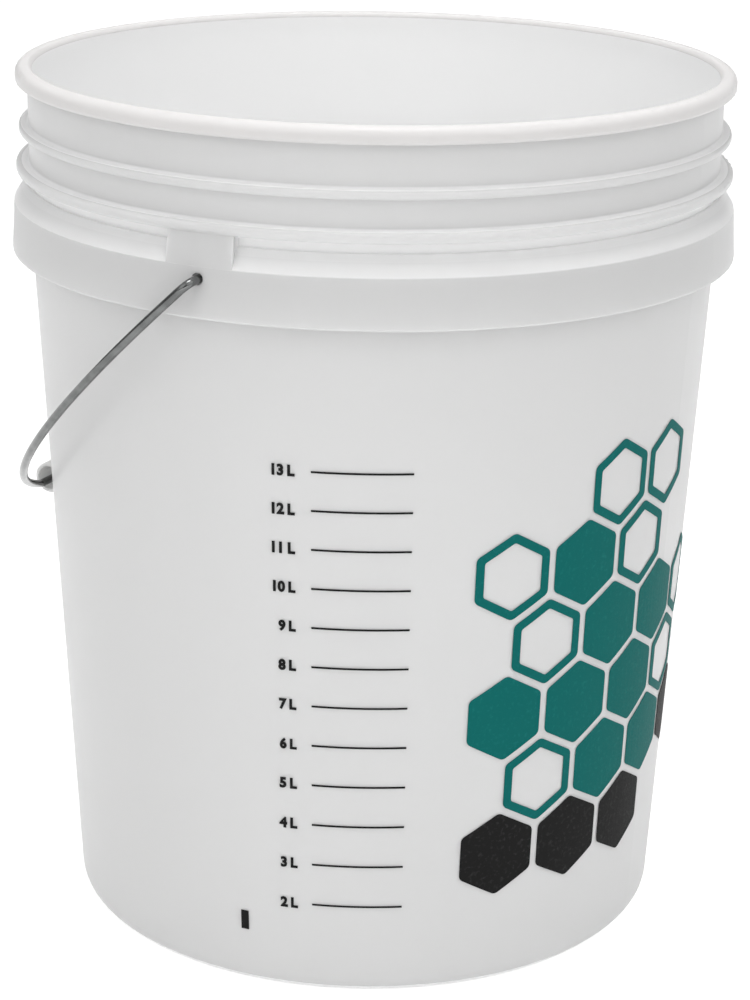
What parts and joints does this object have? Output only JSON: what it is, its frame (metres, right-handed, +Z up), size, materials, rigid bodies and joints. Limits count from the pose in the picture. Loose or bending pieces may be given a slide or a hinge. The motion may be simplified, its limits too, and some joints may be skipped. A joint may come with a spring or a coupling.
{
  "type": "graduated bucket",
  "caption": "Open-head plastic bucket with printed litre lines, a flanged collar and skirt, and a swinging wire bail that carries a turning handle grip.",
  "frame": {"origin": "middle of the foot ring's ground face, on the bucket's axis", "axes": "+Z up along the bucket's axis, Y through both ears, -X the side on which the bail hangs at rest"},
  "size_m": [0.3085, 0.3244, 0.371],
  "materials": {
    "pail_plastic": "moulded natural polyethylene, milky, semi-gloss",
    "bail_steel": "drawn zinc-coated wire",
    "grip_plastic": "moulded natural plastic, milky, semi-gloss",
    "black_ink": "screen-printed black ink",
    "teal_ink": "screen-printed teal ink"
  },
  "bodies": {
    "pail": {"pail_body": "pail_plastic", "graduation_lines": "black_ink", "register_mark": "black_ink"},
    "bail": {"bail_wire": "bail_steel"},
    "grip": {"handle_grip": "grip_plastic"}
  },
  "joints": [
    {"name": "bail_swing", "type": "hinge", "parent": "pail", "child": "bail", "pos_m": [0, 0, 0.30905], "axis": [0, 1, 0], "range_deg": [0, 265.5]},
    {"name": "grip_spin", "type": "hinge", "parent": "bail", "child": "grip", "pos_m": [-0.15011, 0, 0.17016], "axis": [0, 1, 0], "continuous": true}
  ]
}
